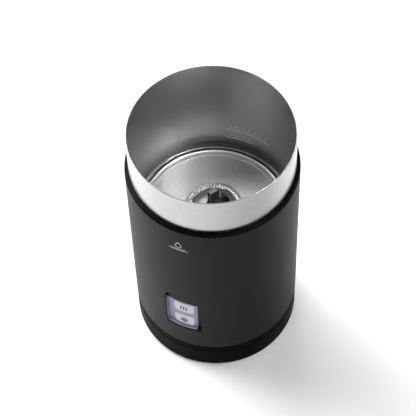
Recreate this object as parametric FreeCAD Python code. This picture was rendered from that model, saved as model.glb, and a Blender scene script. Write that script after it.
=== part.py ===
"""Cordless milk frother: a steel cup in a soft-touch sleeve, standing on a round power base.

Millimetres, +Z up. The origin is the centre of the footprint on the table, and the button
panel faces -Y. Every piece is written as one STEP file in parts/.
"""
import FreeCAD
import Part
import math
import os

from FreeCAD import Vector

# ---------------------------------------------------------------- driving dimensions
# Power base
base_inset = 0.1
base_deck_height = 24.2
base_skirt_height = 4.6
base_seam_step = 0.35
base_seam_round = 0.4
base_wall = 2.2
base_edge_round = 3.0
deck_edge_round = 1.0
foot_stand = 0.8
foot_radius = 6.5
foot_sink = 1.0
foot_inset = 13.4
foot_count = 4
foot_start = 45.0

# Jug
sleeve_radius = 55.4
sleeve_wall = 1.6
sleeve_length = 137.2
jug_gap = 1.2
trim_height = 2.0
trim_step = 0.5
trim_skirt = 6.0
sleeve_edge_round = 0.5
cup_gap = 1.1
cup_wall = 0.7
cup_rise = 31.4

# Raised bead around the cup floor
bead_inset = 4.8
bead_radius = 2.2
bead_height = 4.2
bead_root_round = 0.8
valley_round = 1.3

# Whisk and its drive
coil_ring_radius = 16.6
coil_tube_radius = 3.1
whisk_angle = 57.0
whisk_top_above_floor = 23.2
grip_width = 7.2
grip_thickness = 2.6
shoe_length = 11.0
pin_radius = 1.5
pin_length = 9.5
magnet_inset = 4.2

# Button panel, centred on -Y
window_width = 26.2
window_rise = 20.7
window_height = 37.4
window_corner = 2.5
panel_recess = 2.6
panel_rim = 0.7
panel_rim_inset = 0.3
button_width = 14.6
button_height = 11.0
button_corner = 2.2
button_edge_round = 0.5
button_top_share = 0.59
button_gap_share = 0.273
button_proud = 0.9
button_travel = 0.8

# Cable inlet of the base
inlet_bore_radius = 3.6
inlet_wall = 1.2
inlet_length = 7.4

# Motor
motor_radius = 12.2
motor_length = 31.0
shaft_radius = 1.0

# Fits and clearances
running_clearance = 0.08
seat_clearance = 0.1
button_clearance = 0.25
free_clearance = 0.6

# Screws: shank radius, head radius and head height
small_screw = (1.1, 2.2, 1.5)
case_screw = (1.5, 2.8, 2.0)

# ---------------------------------------------------------------- radii worked out from them
sleeve_inner = sleeve_radius - sleeve_wall
cup_radius = sleeve_inner - cup_gap
cup_inner = cup_radius - cup_wall
bead_ring_radius = cup_inner - bead_inset
base_radius = sleeve_radius - base_inset
magnet_circle = coil_ring_radius - magnet_inset

drive_magnet_radius = 3.6
carrier_radius = magnet_circle + drive_magnet_radius + 1.2
spreader_radius = bead_ring_radius - bead_radius - bead_root_round - cup_wall
spreader_bore = carrier_radius + 1.5
element_radius = 3.2
element_ring = spreader_radius - 10.5
sensor_circle = (carrier_radius + element_ring - element_radius) / 2
heater_post_circle = spreader_radius - 3.5
heater_post_radius = 2.5
heater_post_count = 3
heater_post_start = 30.0

bracket_radius = sleeve_inner - 8.8
column_radius = 3.6
column_circle = bracket_radius - column_radius - 1.9
column_count = 3
column_start = 90.0
rest_ring_outer = sleeve_inner - 6.8
rest_ring_inner = rest_ring_outer - 3.0

board_radius = column_circle - column_radius - 0.9
board_post_circle = board_radius - 7.0
board_post_radius = 3.0
board_post_count = 3
board_post_start = 30.0

connector_radius = 13.8
connector_shank = connector_radius - 1.8
connector_flange = connector_radius + 6.2
connector_bevel = 1.0
socket_wall = 2.2
socket_inner = connector_radius + free_clearance
socket_outer = socket_inner + socket_wall
socket_flange = socket_outer + 5.4
socket_screw_circle = (socket_outer + socket_flange) / 2
socket_screw_count = 2
socket_screw_start = 90.0
blade_radius = 7.9
blade_wall = 0.6
blade_outer = blade_radius + blade_wall / 2
blade_inner = blade_radius - blade_wall / 2

# ---------------------------------------------------------------- levels, from the table up
base_floor = foot_stand
base_seam_height = base_deck_height - base_skirt_height
sleeve_bottom = base_deck_height + jug_gap
sleeve_top = sleeve_bottom + sleeve_length
trim_top = sleeve_top + trim_height
cup_rim = trim_top + cup_rise

cover_plate = 2.2
cover_bottom = sleeve_bottom + 1.1
cover_top = cover_bottom + cover_plate
boss_height = 4.0
connector_rise = 8.8
socket_roof = base_deck_height + connector_rise + 1.5
socket_flange_thick = 2.0

board_level = cover_top + 21.3
board_thick = 1.6
motor_bottom = board_level + 10.0
motor_top = motor_bottom + motor_length
bracket_thick = 2.5
bracket_under = motor_top
bracket_top = bracket_under + bracket_thick
carrier_hub_length = 3.3
carrier_thick = 7.0
carrier_under = bracket_top + 3.5 + carrier_hub_length
carrier_top = carrier_under + carrier_thick
drive_magnet_height = 4.0

# The cup's floor lies just above its drive, so a longer sleeve gives a deeper cup.
cup_under = carrier_top + 2.0
cup_floor = cup_under + cup_wall
spreader_thick = 3.0
spreader_under = cup_under - spreader_thick
element_sunk = 1.0
element_centre = spreader_under - element_radius + element_sunk

# ---------------------------------------------------------------- panel, switches and buttons
window_bottom = sleeve_bottom + window_rise
window_middle = window_bottom + window_height / 2
window_spare = window_height - 2 * button_height
button_pitch = button_height + button_gap_share * window_spare
hot_level = (window_bottom + window_height - button_top_share * window_spare
             - button_height / 2)
cold_level = hot_level - button_pitch
button_middle = (hot_level + cold_level) / 2
panel_face = sleeve_radius - panel_recess
panel_flange_outer = sleeve_inner - seat_clearance
panel_flange_inner = panel_flange_outer - 1.8
panel_flange_margin = 2.8
panel_boss_radius = 2.2
button_face = panel_face + button_proud
button_flange_thick = 1.0
button_flange_front = -(panel_flange_inner - 1.0)
button_flange_back = button_flange_front + button_flange_thick
button_flange_width = button_width + 3.4
button_flange_height = button_pitch - 1.6
panel_boss_x = button_flange_width / 2 + 3.0
switch_board_thick = 1.6
switch_board_front = -(panel_flange_inner - 9.4)
switch_board_back = switch_board_front + switch_board_thick
switch_board_width = 2 * (panel_boss_x + 2.0)
switch_board_height = window_height + 3.0
switch_body = 6.0
switch_depth = 3.5
plunger_radius = 1.7
plunger_length = 0.8
switch_front = switch_board_front - switch_depth
stem_radius = 2.0
stem_gap = 0.1

# Bores tapped for a small or a case screw, and bores that let one through
small_tap = small_screw[0] + 0.05
small_pass = small_screw[0] + 0.15
case_tap = case_screw[0] + 0.05
case_pass = case_screw[0] + 0.2
head_room = 0.3

cut_margin = 1.0


# ---------------------------------------------------------------- small helpers
def at(radius, degrees, z):
    """The point at a radius, an angle from +X and a height."""
    angle = math.radians(degrees)
    return Vector(radius * math.cos(angle), radius * math.sin(angle), z)


def spaced(count, start):
    """The angles of a ring of equally spaced things."""
    return [start + 360.0 * i / count for i in range(count)]


def disc(radius, low, high, centre=(0, 0)):
    """An upright cylinder between two heights."""
    return Part.makeCylinder(radius, high - low, Vector(centre[0], centre[1], low))


def tube(outer, inner, low, high, centre=(0, 0)):
    """An upright tube between two heights."""
    hole = disc(inner, low - cut_margin, high + cut_margin, centre)
    return disc(outer, low, high, centre).cut(hole)


def rod_y(radius, start, end, x, z):
    """A cylinder along Y between two Y values."""
    return Part.makeCylinder(radius, end - start, Vector(x, start, z), Vector(0, 1, 0))


def block(low, high):
    """A box between two corners."""
    size = [b - a for a, b in zip(low, high)]
    return Part.makeBox(size[0], size[1], size[2], Vector(low[0], low[1], low[2]))


def rounded_bar(width, height, corner, low_y, high_y, z):
    """A bar along Y whose section is a rectangle with round corners, centred on x = 0."""
    bar = block((-width / 2, low_y, z - height / 2), (width / 2, high_y, z + height / 2))
    long_edges = [e for e in bar.Edges if abs(e.Vertexes[0].X - e.Vertexes[1].X) < 1e-6
                  and abs(e.Vertexes[0].Z - e.Vertexes[1].Z) < 1e-6]
    return bar.makeFillet(corner, long_edges)


def outline(points):
    """A closed wire in the XZ plane. A point given as a pair of points is an arc through both."""
    edges = []
    first = points[0]
    here = Vector(first[0], 0, first[1])
    for step in points[1:]:
        if isinstance(step[0], tuple):
            middle = Vector(step[0][0], 0, step[0][1])
            there = Vector(step[1][0], 0, step[1][1])
            edges.append(Part.Arc(here, middle, there).toShape())
        else:
            there = Vector(step[0], 0, step[1])
            edges.append(Part.LineSegment(here, there).toShape())
        here = there
    edges.append(Part.LineSegment(here, Vector(first[0], 0, first[1])).toShape())
    return Part.Wire(edges)


def turned(points):
    """A solid of revolution about Z from a closed outline of (radius, height) points."""
    face = Part.Face(outline(points))
    return face.revolve(Vector(0, 0, 0), Vector(0, 0, 1), 360)


def arc(centre, radius, start, end):
    """Middle and end points of an arc about a centre, angles in degrees."""
    def point(degrees):
        angle = math.radians(degrees)
        return centre[0] + radius * math.cos(angle), centre[1] + radius * math.sin(angle)

    return point((start + end) / 2), point(end)


def screw(size, head_base, direction, length, at_point):
    """A pan-head screw. Its shank runs from the head's base along the direction."""
    shank_radius, head_radius, head_height = size
    along = Vector(0, 0, direction)
    base = Vector(at_point[0], at_point[1], head_base)
    shank = Part.makeCylinder(shank_radius, length, base, along)
    head = Part.makeCylinder(head_radius, head_height, base, along.negative())
    slot_half = head_radius * 0.6
    tip = head_base - direction * head_height
    deep = head_base - direction * head_height * 0.4
    low, high = min(tip, deep), max(tip, deep)
    cross = block((-slot_half, -0.3, low), (slot_half, 0.3, high))
    cross = cross.fuse(block((-0.3, -slot_half, low), (0.3, slot_half, high)))
    cross.translate(Vector(at_point[0], at_point[1], 0))
    return shank.fuse(head).cut(cross).removeSplitter()


def each(shape_at, spots):
    """The same thing at every place, as one group of separate solids."""
    return Part.makeCompound([shape_at(spot) for spot in spots])


def drill(body, radius, low, high, spots):
    """The body with an upright hole at each place."""
    for spot in spots:
        body = body.cut(disc(radius, low, high, spot))
    return body


def places(count, start, radius):
    """The XY places of a ring of things."""
    points = [at(radius, degrees, 0) for degrees in spaced(count, start)]
    return [(p.x, p.y) for p in points]


# ---------------------------------------------------------------- power base
foot_circle = base_radius - foot_inset
foot_places = places(foot_count, foot_start, foot_circle)
foot_edge_round = 0.4
base_screw_count = 3
base_screw_start = 0.0
base_screw_circle = foot_circle - 8.0
base_screw_places = places(base_screw_count, base_screw_start, base_screw_circle)
base_screw_boss = 4.0
base_screw_sink = 1.0
base_screw_length = base_deck_height - 10.2
base_boss_top = 10.0
cover_radius = base_radius - base_seam_step
shell_inner = base_radius - base_wall
base_inside_floor = base_floor + base_wall
base_inside_round = 1.5
deck_under = base_deck_height - base_wall
lip_depth = 2.5
lip_wall = 1.0
inlet_radius = inlet_bore_radius + inlet_wall
inlet_level = base_inside_floor + inlet_radius + 0.4
inlet_end = sleeve_radius - 0.1
inlet_start = inlet_end - inlet_length
clamp_y = inlet_start - 6.5
clamp_half_width = 10.0
clamp_half_depth = 2.5
clamp_post_x = inlet_bore_radius + 3.4
clamp_post_radius = 2.4
clamp_post_top = inlet_level + 0.8
clamp_top = clamp_post_top + 4.2
clamp_places = [(-clamp_post_x, clamp_y), (clamp_post_x, clamp_y)]
clamp_hole_bottom = base_inside_floor + 1.0
pillar_outer = 10.0
pillar_inner = 8.0
connector_bottom = deck_under - 8.0
groove_floor = base_deck_height - 4.2
groove_outer = blade_radius + 1.5
groove_inner = blade_radius - 0.9
contact_top = base_deck_height + 3.8
centre_bore = 3.0
centre_pin_radius = 1.4


def base_lower_shell():
    """Bowl of the base, with a rounded bottom edge, a soft upper edge and screw bosses."""
    r, edge, inside = base_radius, base_edge_round, base_inside_round
    soft, seam = base_seam_round, base_seam_height
    bowl = turned([
        (0, base_floor),
        (r - edge, base_floor),
        arc((r - edge, base_floor + edge), edge, -90, 0),
        (r, seam - soft),
        arc((r - soft, seam - soft), soft, 0, 90),
        (shell_inner, seam),
        (shell_inner, base_inside_floor + inside),
        arc((shell_inner - inside, base_inside_floor + inside), inside, 0, -90),
        (0, base_inside_floor),
    ])
    pieces = [tube(pillar_outer, pillar_inner, base_inside_floor, connector_bottom)]
    for place in base_screw_places:
        pieces.append(disc(base_screw_boss, base_inside_floor, base_boss_top, place))
    for place in clamp_places:
        pieces.append(disc(clamp_post_radius, base_inside_floor, clamp_post_top, place))
    shell = bowl.fuse(pieces)
    head_radius, head_height = case_screw[1], case_screw[2]
    recess = base_floor + head_height + base_screw_sink
    low = base_floor - cut_margin
    shell = drill(shell, head_radius + head_room, low, recess, base_screw_places)
    shell = drill(shell, case_pass, low, base_boss_top + cut_margin, base_screw_places)
    shell = drill(shell, foot_radius + seat_clearance, low, base_floor + foot_sink, foot_places)
    hole_top = clamp_post_top + cut_margin
    shell = drill(shell, small_tap, clamp_hole_bottom, hole_top, clamp_places)
    inlet = rod_y(inlet_radius + 0.05, inlet_start, base_radius + cut_margin, 0, inlet_level)
    return shell.cut(inlet).removeSplitter()


def base_top_cover():
    """Flat deck with a short wall, a lap lip inside the seam and a hole for the connector."""
    r, edge = cover_radius, deck_edge_round
    lip_outer = shell_inner - seat_clearance
    lip_inner = lip_outer - lip_wall
    connector_hole = connector_radius + 2 * seat_clearance
    cover = turned([
        (connector_hole, deck_under),
        (lip_inner - 0.3, deck_under),
        (lip_inner, deck_under - 1.0),
        (lip_inner, base_seam_height - lip_depth),
        (lip_outer, base_seam_height - lip_depth),
        (lip_outer, base_seam_height),
        (r, base_seam_height),
        (r, base_deck_height - edge),
        arc((r - edge, base_deck_height - edge), edge, 0, 90),
        (connector_hole, base_deck_height),
    ])
    bosses = [disc(base_screw_boss, base_boss_top, deck_under, p) for p in base_screw_places]
    cover = cover.fuse(bosses)
    low = base_boss_top - cut_margin
    cover = drill(cover, case_tap, low, deck_under - 0.5, base_screw_places)
    inlet_room = rod_y(inlet_radius + 0.4, inlet_start, base_radius + cut_margin, 0, inlet_level)
    return cover.cut(inlet_room).removeSplitter()


def base_foot(place):
    """A rubber pad, let into the base, with a rounded lower edge."""
    pad = disc(foot_radius, 0, base_floor + foot_sink, place)
    rim = [e for e in pad.Edges if e.Closed and abs(e.CenterOfMass.z) < 1e-6]
    return pad.makeFillet(foot_edge_round, rim)


def base_screw(place):
    """A screw that closes the base from below."""
    head_base = base_floor + case_screw[2] + base_screw_sink
    return screw(case_screw, head_base, 1, base_screw_length, place)


def base_connector():
    """Round connector: a post with a ring groove and a centre hole, held by its flange."""
    top = base_deck_height + connector_rise
    flange_under = deck_under - 3.0
    post = turned([
        (0, connector_bottom),
        (connector_shank, connector_bottom),
        (connector_shank, flange_under),
        (connector_flange, flange_under),
        (connector_flange, deck_under),
        (connector_radius, deck_under),
        (connector_radius, top - connector_bevel),
        (connector_radius - connector_bevel, top),
        (0, top),
    ])
    groove = tube(groove_outer, groove_inner, groove_floor, top + cut_margin)
    centre = disc(centre_bore, groove_floor, top + cut_margin)
    return post.cut(groove).cut(centre)


def base_ring_contact():
    """Brass ring that lines the outside of the connector's groove."""
    outer = groove_outer - seat_clearance
    return tube(outer, outer - blade_wall, groove_floor, contact_top)


def base_centre_contact():
    """Brass sleeve in the connector's centre hole."""
    outer = centre_bore - seat_clearance
    return tube(outer, outer - 0.7, groove_floor, contact_top)


def cord_inlet_gland():
    """Short hollow bush at the back of the base, where a lead would enter."""
    gland = rod_y(inlet_radius, inlet_start, inlet_end, 0, inlet_level)
    bore = rod_y(inlet_bore_radius, inlet_start - cut_margin, inlet_end + cut_margin, 0,
                 inlet_level)
    return gland.cut(bore)


def cord_clamp():
    """Bar that grips a lead against the floor of the base."""
    low = (-clamp_half_width, clamp_y - clamp_half_depth, clamp_post_top)
    high = (clamp_half_width, clamp_y + clamp_half_depth, clamp_top)
    bar = block(low, high)
    reach = clamp_half_depth + cut_margin
    notch = rod_y(inlet_bore_radius, clamp_y - reach, clamp_y + reach, 0, inlet_level)
    bar = bar.cut(notch)
    return drill(bar, small_pass, clamp_post_top - 1, clamp_top + 1, clamp_places)


def cord_clamp_screws():
    """Two screws that hold the clamp bar to its posts."""
    length = clamp_top - clamp_hole_bottom - 0.5
    return Part.makeCompound([screw(small_screw, clamp_top, -1, length, p)
                              for p in clamp_places])


# ---------------------------------------------------------------- sleeve, trim ring and cup
def outer_sleeve():
    """Straight sleeve with softened ends and a window for the button panel."""
    r, inner, soft = sleeve_radius, sleeve_inner, sleeve_edge_round
    sleeve = turned([
        (inner, sleeve_bottom),
        (r - soft, sleeve_bottom),
        arc((r - soft, sleeve_bottom + soft), soft, -90, 0),
        (r, sleeve_top),
        (inner, sleeve_top),
    ])
    window = rounded_bar(window_width, window_height, window_corner, -r - cut_margin, -r / 2,
                         window_middle)
    return sleeve.cut(window)


def top_trim_ring():
    """Convex ring that closes the joint between sleeve and cup, with a skirt inside."""
    bore = cup_radius + seat_clearance
    skirt = sleeve_inner - seat_clearance
    skirt_bottom = sleeve_top - trim_skirt
    shoulder = bore + 0.5
    bulge = (sleeve_radius * 0.72 + shoulder * 0.28, sleeve_top + trim_height * 0.72)
    return turned([
        (bore, skirt_bottom),
        (skirt, skirt_bottom),
        (skirt, sleeve_top),
        (sleeve_radius, sleeve_top),
        (sleeve_radius, sleeve_top + trim_step),
        (bulge, (shoulder, trim_top)),
        (bore, trim_top),
    ])


def cup_filled(offset, top):
    """The room inside the cup, grown by an offset and filled up to a height."""
    wall = cup_inner + offset
    crest = cup_floor + bead_height - bead_radius
    valley = cup_floor + valley_round
    valley_middle = cup_inner - valley_round
    bead = bead_radius - offset
    root_middle = bead_ring_radius - bead_radius - bead_root_round
    root = cup_floor + bead_root_round
    return turned([
        (0, top),
        (wall, top),
        (wall, valley),
        arc((valley_middle, valley), valley_round + offset, 0, -180),
        (bead_ring_radius + bead, crest),
        arc((bead_ring_radius, crest), bead, 0, 180),
        (bead_ring_radius - bead, root),
        arc((root_middle, root), bead_root_round + offset, 0, -90),
        (0, cup_floor - offset),
    ])


def steel_cup():
    """Deep-drawn steel cup with a round rim edge, a raised bead and a hole for the pin."""
    cup = cup_filled(cup_wall, cup_rim).cut(cup_filled(0.0, cup_rim + cut_margin))
    rim = [e for e in cup.Edges if e.Closed and abs(e.CenterOfMass.z - cup_rim) < 1e-6]
    cup = cup.makeFillet(cup_wall * 0.45, rim)
    return cup.cut(disc(pin_radius + 0.05, cup_under - 1, cup_floor + 1))


def cup_seal():
    """Silicone ring between the cup and the sleeve."""
    high = sleeve_top - trim_skirt - 3.0
    gap = seat_clearance / 2
    return tube(sleeve_inner - gap, cup_radius + gap, high - seal_height, high)


seal_height = 5.0
pin_flange_radius = 3.5
pin_flange_thick = 0.8
pin_rivet_radius = 2.6
pin_rivet_height = 1.2
pin_bevel = 0.5
pin_top = cup_floor + pin_length


def drive_pin():
    """Fixed steel pin that the whisk turns on, riveted through the cup's floor."""
    r = pin_radius
    return turned([
        (0, cup_under - pin_rivet_height),
        (pin_rivet_radius, cup_under - pin_rivet_height),
        (pin_rivet_radius, cup_under),
        (r, cup_under),
        (r, cup_floor),
        (pin_flange_radius, cup_floor),
        (pin_flange_radius, cup_floor + pin_flange_thick),
        (r, cup_floor + pin_flange_thick),
        (r, pin_top - pin_bevel),
        (r - pin_bevel, pin_top),
        (0, pin_top),
    ])


# ---------------------------------------------------------------- heater
sensor_place = (sensor_circle, 0.0)
cutout_place = (-sensor_circle, 0.0)
sensor_radius = 2.6
sensor_length = 8.0
cutout_radius = 3.8
cutout_length = 4.2
cutout_tab = 3.0
lead_spread = 1.2
element_gap_angle = 40.0
terminal_radius = 1.2
terminal_length = 6.0
heater_lead_radius = 0.9
heater_post_places = places(heater_post_count, heater_post_start, heater_post_circle)
spreader_tap_depth = 2.0


def element_path(tube_radius):
    """Bent tube of the heating element, open at the back between its two terminals."""
    start = 90.0 + element_gap_angle / 2
    sweep = 360.0 - element_gap_angle
    section = Part.Face(Part.Wire(Part.Circle(
        Vector(element_ring, 0, element_centre), Vector(0, 1, 0), tube_radius).toShape()))
    section.rotate(Vector(0, 0, 0), Vector(0, 0, 1), start)
    return section.revolve(Vector(0, 0, 0), Vector(0, 0, 1), sweep)


def heat_spreader():
    """Aluminium ring under the cup's floor, grooved for the element."""
    ring = tube(spreader_radius, spreader_bore, spreader_under, cup_under)
    groove = Part.makeTorus(element_ring, element_radius + 0.03, Vector(0, 0, element_centre))
    ring = ring.cut(groove)
    sensor_hole = sensor_radius + seat_clearance
    ring = ring.cut(disc(sensor_hole, spreader_under - 1, cup_under + 1, sensor_place))
    top = spreader_under + spreader_tap_depth
    return drill(ring, small_tap, spreader_under - 1, top, heater_post_places)


def terminal_ends():
    """Start and direction of the pin at each end of the element."""
    ends = []
    for side in (-1, 1):
        base = at(element_ring, 90.0 + side * element_gap_angle / 2, element_centre)
        along = Vector(0, 0, 1).cross(Vector(base.x, base.y, 0)).normalize() * -side
        ends.append((base, along))
    return ends


def heater_terminals():
    """Cold pins at the two ends of the element."""
    pins = [Part.makeCylinder(terminal_radius, terminal_length, base, along)
            for base, along in terminal_ends()]
    return Part.makeCompound(pins)


def heater_lead_places():
    """Where the heater's leads hang from its pins, just inside their tips."""
    tips = [base + along * (terminal_length - 1.0) for base, along in terminal_ends()]
    return [(tip.x, tip.y) for tip in tips]


def temperature_sensor():
    """Probe that touches the cup's floor through the spreader."""
    low = cup_under - sensor_length
    return disc(sensor_radius, low, cup_under, sensor_place)


def thermal_cutout():
    """Safety cutout pressed against the spreader."""
    low = spreader_under - cutout_length
    body = disc(cutout_radius, low, spreader_under, cutout_place)
    tabs = [block((cutout_place[0] - 0.4, side * lead_spread - 0.9, low - cutout_tab),
                  (cutout_place[0] + 0.4, side * lead_spread + 0.9, low)) for side in (-1, 1)]
    return body.fuse(tabs)


def heater_screw(place):
    """A screw through the bracket into the heat spreader."""
    length = spreader_under + spreader_tap_depth - 0.2 - bracket_under
    return screw(small_screw, bracket_under, 1, length, place)


# ---------------------------------------------------------------- motor
motor_boss_radius = 3.0
motor_boss_height = 1.4
motor_can_wall = 0.9
motor_screw_circle = 8.0
motor_screw_count = 2
motor_screw_places = places(motor_screw_count, 0.0, motor_screw_circle)
motor_inner = motor_radius - motor_can_wall
shaft_top = carrier_top - 1.2
motor_cap_thick = 2.5
motor_tab = 3.0
motor_tab_x = 8.0
vent_half = 2.6
vent_count = 6
vent_start = sensor_circle - 2.4
vent_end = heater_post_circle - 8.0
column_places = places(column_count, column_start, column_circle)
column_tap_depth = 15.0


def motor_bracket():
    """Plate that carries the motor, with columns down to the cover and posts to the heater."""
    plate = disc(bracket_radius, bracket_under, bracket_top)
    columns = [disc(column_radius, cover_top + boss_height, bracket_under, p)
               for p in column_places]
    posts = [disc(heater_post_radius, bracket_top, spreader_under, p) for p in heater_post_places]
    body = plate.fuse(columns + posts)
    low = bracket_under - 1
    body = body.cut(disc(motor_boss_radius + 0.2, low, bracket_top + 1))
    body = drill(body, small_pass, low, spreader_under + 1, heater_post_places)
    body = drill(body, small_pass, low, bracket_top + 1, motor_screw_places)
    hole_low = cover_top + boss_height - 1
    body = drill(body, case_tap, hole_low, hole_low + column_tap_depth, column_places)
    body = drill(body, heater_lead_radius + 0.5, low, bracket_top + 1, heater_lead_places())
    for degrees in spaced(vent_count, 0.0):
        vent = block((vent_start, -vent_half, low), (vent_end, vent_half, bracket_top + 1))
        vent.rotate(Vector(0, 0, 0), Vector(0, 0, 1), degrees)
        body = body.cut(vent)
    return body.removeSplitter()


def motor_can():
    """Drawn steel can with a bearing boss on top."""
    bearing = shaft_radius + running_clearance
    end_wall = motor_top - 2.0
    bevel = 0.8
    can = turned([
        (bearing, end_wall),
        (motor_inner, end_wall),
        (motor_inner, motor_bottom),
        (motor_radius, motor_bottom),
        (motor_radius, motor_top - bevel),
        (motor_radius - bevel, motor_top),
        (motor_boss_radius, motor_top),
        (motor_boss_radius, motor_top + motor_boss_height),
        (bearing, motor_top + motor_boss_height),
    ])
    return drill(can, small_tap, end_wall - cut_margin, motor_top + 1, motor_screw_places)


def motor_end_cap():
    """Plastic cap with the brush terminals."""
    cap = tube(motor_radius, shaft_radius + 0.3, motor_bottom - motor_cap_thick, motor_bottom)
    low = motor_bottom - motor_cap_thick
    tabs = [block((side * motor_tab_x - 0.3, -1.4, low - motor_tab),
                  (side * motor_tab_x + 0.3, 1.4, low)) for side in (-1, 1)]
    return cap.fuse(tabs)


def motor_field_magnets():
    """Two curved magnets inside the can."""
    low, high = motor_bottom + 6.0, motor_top - 6.0
    ring = tube(motor_inner - 0.05, motor_inner - 2.6, low, high)
    half_height = motor_inner * 0.75
    solids = []
    for side in (-1, 1):
        near, far = sorted((side * 1.5, side * motor_radius))
        keep = block((near, -half_height, low - 1), (far, half_height, high + 1))
        solids.append(ring.common(keep).Solids[0])
    return Part.makeCompound(solids)


def motor_screw(place):
    """A screw that holds the motor under the bracket."""
    return screw(small_screw, bracket_top, -1, bracket_thick + 1.6, place)


def motor_shaft():
    """Shaft from the foot of the motor to the magnet carrier."""
    return disc(shaft_radius, motor_bottom + 1.0, shaft_top)


def motor_armature():
    """Three-pole armature with its winding and commutator, pressed on the shaft."""
    low, high = motor_bottom + 7.0, motor_top - 7.0
    core_radius = motor_inner - 3.3
    core = disc(core_radius, low, high)
    for degrees in spaced(3, 30.0):
        slot = block((core_radius / 2, -1.2, low - 1), (core_radius + 1, 1.2, high + 1))
        slot.rotate(Vector(0, 0, 0), Vector(0, 0, 1), degrees)
        core = core.cut(slot)
    commutator = disc(3.0, motor_bottom + 2.0, low)
    return core.fuse(commutator).cut(disc(shaft_radius, low - 10, high + 10)).removeSplitter()


def magnet_carrier():
    """Disc on the shaft that carries the driving magnets below the cup's floor."""
    hub, bevel = 4.5, 0.5
    disc_part = turned([
        (shaft_radius, carrier_under - carrier_hub_length),
        (hub, carrier_under - carrier_hub_length),
        (hub, carrier_under),
        (carrier_radius - bevel, carrier_under),
        (carrier_radius, carrier_under + bevel),
        (carrier_radius, carrier_top - bevel),
        (carrier_radius - bevel, carrier_top),
        (shaft_radius, carrier_top),
    ])
    low = carrier_top - drive_magnet_height
    pockets = places(2, whisk_angle, magnet_circle)
    return drill(disc_part, drive_magnet_radius, low, carrier_top + 1, pockets)


def drive_magnet(place):
    """A round magnet in the carrier."""
    return disc(drive_magnet_radius, carrier_top - drive_magnet_height, carrier_top, place)


# ---------------------------------------------------------------- whisk
whisk_float = 0.2
whisk_bottom = cup_floor + pin_flange_thick + whisk_float
whisk_top = cup_floor + whisk_top_above_floor
coil_middle = whisk_bottom + coil_tube_radius - 0.05
shoe_top = coil_middle + coil_tube_radius - 0.05
shoe_inner = coil_ring_radius - 5.5
shoe_outer = coil_ring_radius - 1.8
magnet_thick = 1.4
magnet_length = 7.0
magnet_height = 3.0
magnet_inner = magnet_circle - magnet_thick / 2
hub_radius = 4.2
hub_height = 11.0
flare_height = 17.0
flare_swell = (2.1, 4.4)
rib_count = 5
rib_pitch = 1.7
rib_width = 0.8
rib_depth = 0.4
rib_top = whisk_top - 1.8


def rotated(shape):
    """The shape turned from +X to the whisk's direction."""
    shape.rotate(Vector(0, 0, 0), Vector(0, 0, 1), whisk_angle)
    return shape


def magnet_box(side):
    """One whisk magnet, open at the bottom of its shoe."""
    low_x, high_x = sorted((side * magnet_inner, side * (magnet_inner + magnet_thick)))
    half = magnet_length / 2
    return block((low_x, -half, whisk_bottom), (high_x, half, whisk_bottom + magnet_height))


def whisk_frame():
    """Grip blade that flares into two arms, each ending in a shoe that holds the coil."""
    half, thick = grip_width / 2, grip_thickness / 2
    flare_top = whisk_bottom + flare_height
    arm_top = shoe_top - 1.2
    reach = shoe_inner + 0.6
    blade_wire = outline([
        (-reach, whisk_bottom),
        (reach, whisk_bottom),
        (reach, arm_top),
        ((half + flare_swell[0], arm_top + flare_swell[1]), (half, flare_top)),
        (half, whisk_top - 1.0),
        ((half - 0.3, whisk_top - 0.3), (half - 1.0, whisk_top)),
        (-half + 1.0, whisk_top),
        ((-half + 0.3, whisk_top - 0.3), (-half, whisk_top - 1.0)),
        (-half, flare_top),
        ((-half - flare_swell[0], arm_top + flare_swell[1]), (-reach, arm_top)),
    ])
    blade = Part.Face(blade_wire).extrude(Vector(0, grip_thickness, 0))
    blade.translate(Vector(0, -thick, 0))
    hub = Part.makeCone(hub_radius, thick + 0.3, hub_height, Vector(0, 0, whisk_bottom))
    shoes = []
    for side in (-1, 1):
        ring = tube(shoe_outer, shoe_inner, whisk_bottom, shoe_top)
        low_x, high_x = sorted((side * hub_radius, side * coil_ring_radius))
        keep = block((low_x, -shoe_length / 2, whisk_bottom), (high_x, shoe_length / 2, shoe_top))
        shoes.append(ring.common(keep))
    frame = blade.fuse([hub] + shoes)
    rib_half = half - 0.6
    for i in range(rib_count):
        high = rib_top - i * rib_pitch
        for side in (-1, 1):
            low_y, high_y = sorted((side * (thick - rib_depth), side * (thick + 1)))
            notch = block((-rib_half, low_y, high - rib_width), (rib_half, high_y, high))
            frame = frame.cut(notch)
    coil_room = Part.makeTorus(coil_ring_radius, coil_tube_radius + 0.05,
                               Vector(0, 0, coil_middle))
    frame = frame.cut(coil_room)
    for side in (-1, 1):
        frame = frame.cut(magnet_box(side))
    bore = disc(pin_radius + seat_clearance, whisk_bottom - 1, pin_top + 0.6)
    return rotated(frame.cut(bore).removeSplitter())


def whisk_coil():
    """Envelope of the steel coil that is bent into a ring."""
    return Part.makeTorus(coil_ring_radius, coil_tube_radius, Vector(0, 0, coil_middle))


def whisk_magnets():
    """A magnet in the bottom of each shoe."""
    return rotated(Part.makeCompound([magnet_box(side) for side in (-1, 1)]))


# ---------------------------------------------------------------- underside of the jug
board_post_places = places(board_post_count, board_post_start, board_post_circle)
socket_screw_places = places(socket_screw_count, socket_screw_start, socket_screw_circle)
case_screw_sink = 0.8
case_screw_length = 14.0


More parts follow.
